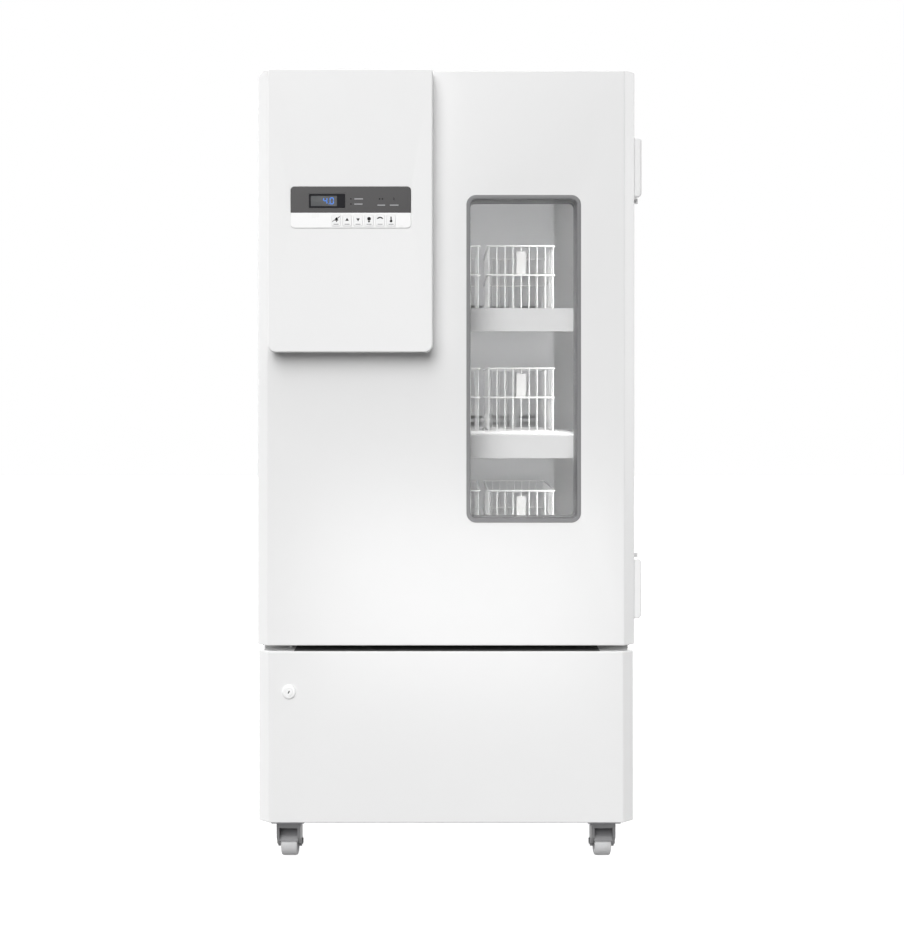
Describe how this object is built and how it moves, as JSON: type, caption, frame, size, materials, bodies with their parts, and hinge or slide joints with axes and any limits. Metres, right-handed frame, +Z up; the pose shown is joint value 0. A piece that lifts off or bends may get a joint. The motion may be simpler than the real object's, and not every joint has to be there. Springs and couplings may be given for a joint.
{
  "type": "blood bank refrigerator",
  "caption": "Upright blood bank refrigerator with a glazed door, control box with display and keys, wire baskets on shelves, locked base panel and castors.",
  "frame": {"origin": "on the floor, under the middle of the door's width and of the whole depth", "axes": "+Z up, +Y from the door to the back, +X to the right of a viewer in front of the door"},
  "size_m": [0.816, 0.7685, 1.676],
  "materials": {
    "painted_steel": "satin off-white powder coat",
    "coated_steel": "white plastic-coated steel",
    "dark_steel": "dark grey paint",
    "black_paint": "black enamel",
    "steel": "bright steel",
    "copper": "copper tube",
    "aluminium": "plain aluminium fins",
    "foam": "rigid polyurethane foam",
    "liner_plastic": "light grey moulded liner",
    "white_plastic": "white moulded plastic",
    "grey_plastic": "grey moulded plastic",
    "black_plastic": "black moulded plastic",
    "trim_plastic": "dark grey moulded trim",
    "wheel_plastic": "grey wheel",
    "rubber": "black rubber",
    "gasket_rubber": "grey magnetic gasket",
    "glass": "clear pane"
  },
  "bodies": {
    "cabinet": {"cabinet_shell": "painted_steel", "cabinet_foam": "foam", "inner_liner": "liner_plastic", "breaker_frame": "liner_plastic", "base_chassis": "dark_steel", "base_front_panel": "painted_steel", "rear_cover": "painted_steel", "power_inlet": "black_plastic", "compressor": "black_paint", "compressor_mounts": "rubber", "condenser": "aluminium", "condenser_fan_frame": "black_plastic", "refrigerant_pipes": "copper", "evaporator_cover": "liner_plastic", "evaporator_coil": "aluminium", "air_duct_panel": "liner_plastic", "shelf_uprights": "steel", "shelf_lower": "coated_steel", "shelf_middle": "coated_steel", "shelf_upper": "coated_steel", "baskets_lower": "coated_steel", "baskets_middle": "coated_steel", "baskets_upper": "coated_steel", "basket_labels": "white_plastic", "access_port": "white_plastic", "lock_body": "white_plastic", "hinge_brackets": "painted_steel", "door_sensor": "grey_plastic", "castor_plates": "dark_steel", "cover_screws": "steel"},
    "door": {"door_skin": "painted_steel", "door_foam": "foam", "door_liner": "liner_plastic", "window_trim": "trim_plastic", "outer_glass": "glass", "glass_spacer": "trim_plastic", "inner_glass": "glass", "door_gasket": "gasket_rubber", "control_box": "white_plastic", "display_fascia": "trim_plastic", "display_panel": "black_plastic", "door_hinge_leaves": "painted_steel"},
    "key_1": {"key_1": "white_plastic"},
    "key_2": {"key_2": "white_plastic"},
    "key_3": {"key_3": "white_plastic"},
    "key_4": {"key_4": "white_plastic"},
    "key_5": {"key_5": "white_plastic"},
    "key_6": {"key_6": "white_plastic"},
    "lock_plug": {"lock_plug": "steel"},
    "lock_bolt": {"lock_bolt": "white_plastic"},
    "condenser_fan": {"condenser_fan": "grey_plastic"},
    "evaporator_fan": {"evaporator_fan": "grey_plastic"},
    "castor_front_left": {"fork_front_left": "dark_steel"},
    "wheel_front_left": {"wheel_front_left": "wheel_plastic"},
    "castor_front_right": {"fork_front_right": "dark_steel"},
    "wheel_front_right": {"wheel_front_right": "wheel_plastic"},
    "castor_rear_left": {"fork_rear_left": "dark_steel"},
    "wheel_rear_left": {"wheel_rear_left": "wheel_plastic"},
    "castor_rear_right": {"fork_rear_right": "dark_steel"},
    "wheel_rear_right": {"wheel_rear_right": "wheel_plastic"}
  },
  "joints": [
    {"name": "door_hinge", "type": "hinge", "parent": "cabinet", "child": "door", "pos_m": [0.4075, -0.25375, 1], "axis": [0, 0, 1], "range_deg": [0, 120]},
    {"name": "key_1_press", "type": "slide", "parent": "door", "child": "key_1", "axis": [0, 1, 0], "range_m": [0, 0.0008], "stiffness_N_per_m": 600},
    {"name": "key_2_press", "type": "slide", "parent": "door", "child": "key_2", "axis": [0, 1, 0], "range_m": [0, 0.0008], "stiffness_N_per_m": 600},
    {"name": "key_3_press", "type": "slide", "parent": "door", "child": "key_3", "axis": [0, 1, 0], "range_m": [0, 0.0008], "stiffness_N_per_m": 600},
    {"name": "key_4_press", "type": "slide", "parent": "door", "child": "key_4", "axis": [0, 1, 0], "range_m": [0, 0.0008], "stiffness_N_per_m": 600},
    {"name": "key_5_press", "type": "slide", "parent": "door", "child": "key_5", "axis": [0, 1, 0], "range_m": [0, 0.0008], "stiffness_N_per_m": 600},
    {"name": "key_6_press", "type": "slide", "parent": "door", "child": "key_6", "axis": [0, 1, 0], "range_m": [0, 0.0008], "stiffness_N_per_m": 600},
    {"name": "lock_turn", "type": "hinge", "parent": "cabinet", "child": "lock_plug", "pos_m": [-0.3315, -0.32375, 0.3646], "axis": [0, -1, 0], "range_deg": [0, 90]},
    {"name": "bolt_slide", "type": "slide", "parent": "cabinet", "child": "lock_bolt", "axis": [0, 0, 1], "range_m": [0, 0.0141]},
    {"name": "condenser_fan_spin", "type": "hinge", "parent": "cabinet", "child": "condenser_fan", "pos_m": [-0.19, 0.26725, 0.215], "axis": [0, 1, 0], "continuous": true},
    {"name": "evaporator_fan_spin", "type": "hinge", "parent": "cabinet", "child": "evaporator_fan", "pos_m": [0, 0.15425, 1.542], "axis": [0, 1, 0], "continuous": true},
    {"name": "front_left_swivel", "type": "hinge", "parent": "cabinet", "child": "castor_front_left", "pos_m": [-0.3355, -0.29375, 0.075], "axis": [0, 0, 1], "continuous": true},
    {"name": "front_left_roll", "type": "hinge", "parent": "castor_front_left", "child": "wheel_front_left", "pos_m": [-0.3355, -0.27375, 0.03], "axis": [1, 0, 0], "continuous": true},
    {"name": "front_right_swivel", "type": "hinge", "parent": "cabinet", "child": "castor_front_right", "pos_m": [0.3355, -0.29375, 0.075], "axis": [0, 0, 1], "continuous": true},
    {"name": "front_right_roll", "type": "hinge", "parent": "castor_front_right", "child": "wheel_front_right", "pos_m": [0.3355, -0.27375, 0.03], "axis": [1, 0, 0], "continuous": true},
    {"name": "rear_left_swivel", "type": "hinge", "parent": "cabinet", "child": "castor_rear_left", "pos_m": [-0.3355, 0.31625, 0.075], "axis": [0, 0, 1], "continuous": true},
    {"name": "rear_left_roll", "type": "hinge", "parent": "castor_rear_left", "child": "wheel_rear_left", "pos_m": [-0.3355, 0.33625, 0.03], "axis": [1, 0, 0], "continuous": true},
    {"name": "rear_right_swivel", "type": "hinge", "parent": "cabinet", "child": "castor_rear_right", "pos_m": [0.3355, 0.31625, 0.075], "axis": [0, 0, 1], "continuous": true},
    {"name": "rear_right_roll", "type": "hinge", "parent": "castor_rear_right", "child": "wheel_rear_right", "pos_m": [0.3355, 0.33625, 0.03], "axis": [1, 0, 0], "continuous": true}
  ],
  "couplings": [
    {"joint": "bolt_slide", "follows": "lock_turn", "m_per_rad": 0.0089127}
  ]
}
